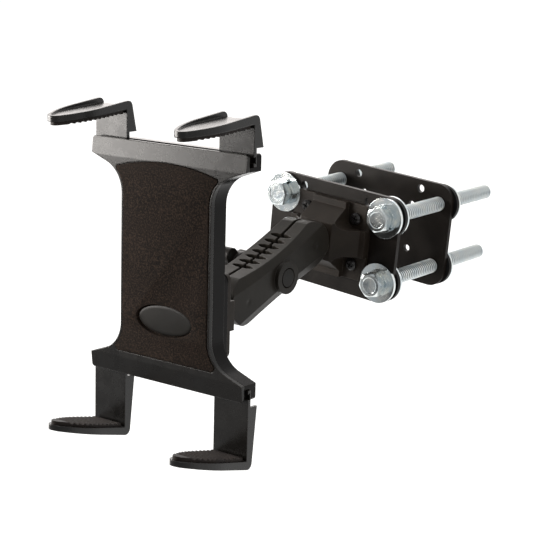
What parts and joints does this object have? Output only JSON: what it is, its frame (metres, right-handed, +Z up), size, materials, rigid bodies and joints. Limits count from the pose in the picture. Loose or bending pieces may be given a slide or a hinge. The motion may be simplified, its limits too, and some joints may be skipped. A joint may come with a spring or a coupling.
{
  "type": "pillar tablet mount",
  "caption": "Tablet cradle on a double-socket swivel arm, held by a two-plate clamp that bolts around a pillar or post.",
  "frame": {"origin": "centre of the front clamp plate's pillar face", "axes": "+Y into the pillar, square to the clamp plates; +Z up; +X to the right when the clamp is seen from the cradle's side"},
  "size_m": [0.1336, 0.3274, 0.2062],
  "materials": {
    "powder_coat": "satin textured black powder coat",
    "zinc_thread": "bright zinc plating, threaded",
    "zinc": "bright zinc plating",
    "seal_rubber": "matte black rubber",
    "base_plastic": "satin moulded plastic",
    "screw_steel": "black oxide steel",
    "ball_plastic": "smooth moulded plastic",
    "arm_plastic": "satin moulded plastic",
    "cap_plastic": "satin black cap",
    "knob_plastic": "satin moulded plastic",
    "housing_plastic": "satin moulded plastic",
    "cover_plastic": "semi-gloss moulded plastic",
    "pad_rubber": "grained soft rubber",
    "leg_plastic": "semi-gloss moulded plastic",
    "foot_rubber": "ribbed soft rubber"
  },
  "bodies": {
    "clamp": {"clamp_front_plate": "powder_coat", "clamp_bolts": "zinc_thread", "lock_washers": "zinc", "flat_washers": "zinc", "front_seals": "seal_rubber", "front_seal_washers": "zinc", "clamp_ball_base": "base_plastic", "clamp_base_screws": "screw_steel"},
    "rear_plate": {"clamp_rear_plate": "powder_coat", "rear_seals": "seal_rubber", "rear_seal_washers": "zinc"},
    "clamp_stud": {"clamp_ball_stud": "ball_plastic"},
    "arm": {"arm_near_half": "arm_plastic", "arm_far_half": "arm_plastic", "arm_bolt": "cap_plastic", "arm_washer": "zinc"},
    "knob": {"arm_knob": "knob_plastic"},
    "cradle_stud": {"cradle_ball_stud": "ball_plastic"},
    "cradle": {"cradle_ball_base": "base_plastic", "cradle_base_screws": "screw_steel", "back_housing": "housing_plastic", "front_cover": "cover_plastic", "grip_pad": "pad_rubber"},
    "upper_slide": {"upper_slider": "housing_plastic"},
    "lower_slide": {"lower_slider": "housing_plastic"},
    "leg_upper_left": {"upper_left_leg": "leg_plastic", "upper_left_foot_pad": "foot_rubber"},
    "leg_upper_right": {"upper_right_leg": "leg_plastic", "upper_right_foot_pad": "foot_rubber"},
    "leg_lower_left": {"lower_left_leg": "leg_plastic", "lower_left_foot_pad": "foot_rubber"},
    "leg_lower_right": {"lower_right_leg": "leg_plastic", "lower_right_foot_pad": "foot_rubber"}
  },
  "joints": [
    {"name": "rear_plate_slide", "type": "slide", "parent": "clamp", "child": "rear_plate", "axis": [0, 1, 0], "range_m": [-0.05, 0.048]},
    {"name": "clamp_ball_swivel", "type": "hinge", "parent": "clamp", "child": "clamp_stud", "pos_m": [0, -0.0385, 0.0015], "axis": [0, 1, 0], "range_deg": [-60, 60]},
    {"name": "clamp_ball_tilt", "type": "hinge", "parent": "clamp_stud", "child": "arm", "pos_m": [0, -0.0385, 0.0015], "axis": [0.9974, 0, 0.0715], "range_deg": [-49.3, 10.7]},
    {"name": "knob_turn", "type": "hinge", "parent": "arm", "child": "knob", "pos_m": [0.00097, -0.06976, -0.01206], "axis": [0.9974, 0, 0.0715], "continuous": true},
    {"name": "cradle_ball_tilt", "type": "hinge", "parent": "arm", "child": "cradle_stud", "pos_m": [0.00161, -0.10268, -0.02092], "axis": [0.9974, 0, 0.0715], "range_deg": [-9.1, 50.9]},
    {"name": "cradle_spin", "type": "hinge", "parent": "cradle_stud", "child": "cradle", "pos_m": [0.00161, -0.10268, -0.02092], "axis": [0.002, 0.9996, -0.0279], "range_deg": [-60, 60]},
    {"name": "upper_slide", "type": "slide", "parent": "cradle", "child": "upper_slide", "axis": [-0.0958, 0.0279, 0.995], "range_m": [0, 0.04], "stiffness_N_per_m": 250, "springref_m": -0.02},
    {"name": "lower_slide", "type": "slide", "parent": "cradle", "child": "lower_slide", "axis": [0.0958, -0.0279, -0.995], "range_m": [0, 0.04], "stiffness_N_per_m": 250, "springref_m": -0.02},
    {"name": "upper_left_leg_slide", "type": "slide", "parent": "upper_slide", "child": "leg_upper_left", "axis": [0.9954, 0.0007, 0.0958], "range_m": [0, 0.02]},
    {"name": "upper_right_leg_slide", "type": "slide", "parent": "upper_slide", "child": "leg_upper_right", "axis": [-0.9954, -0.0007, -0.0958], "range_m": [0, 0.02]},
    {"name": "lower_left_leg_slide", "type": "slide", "parent": "lower_slide", "child": "leg_lower_left", "axis": [0.9954, 0.0007, 0.0958], "range_m": [0, 0.02]},
    {"name": "lower_right_leg_slide", "type": "slide", "parent": "lower_slide", "child": "leg_lower_right", "axis": [-0.9954, -0.0007, -0.0958], "range_m": [0, 0.02]}
  ]
}
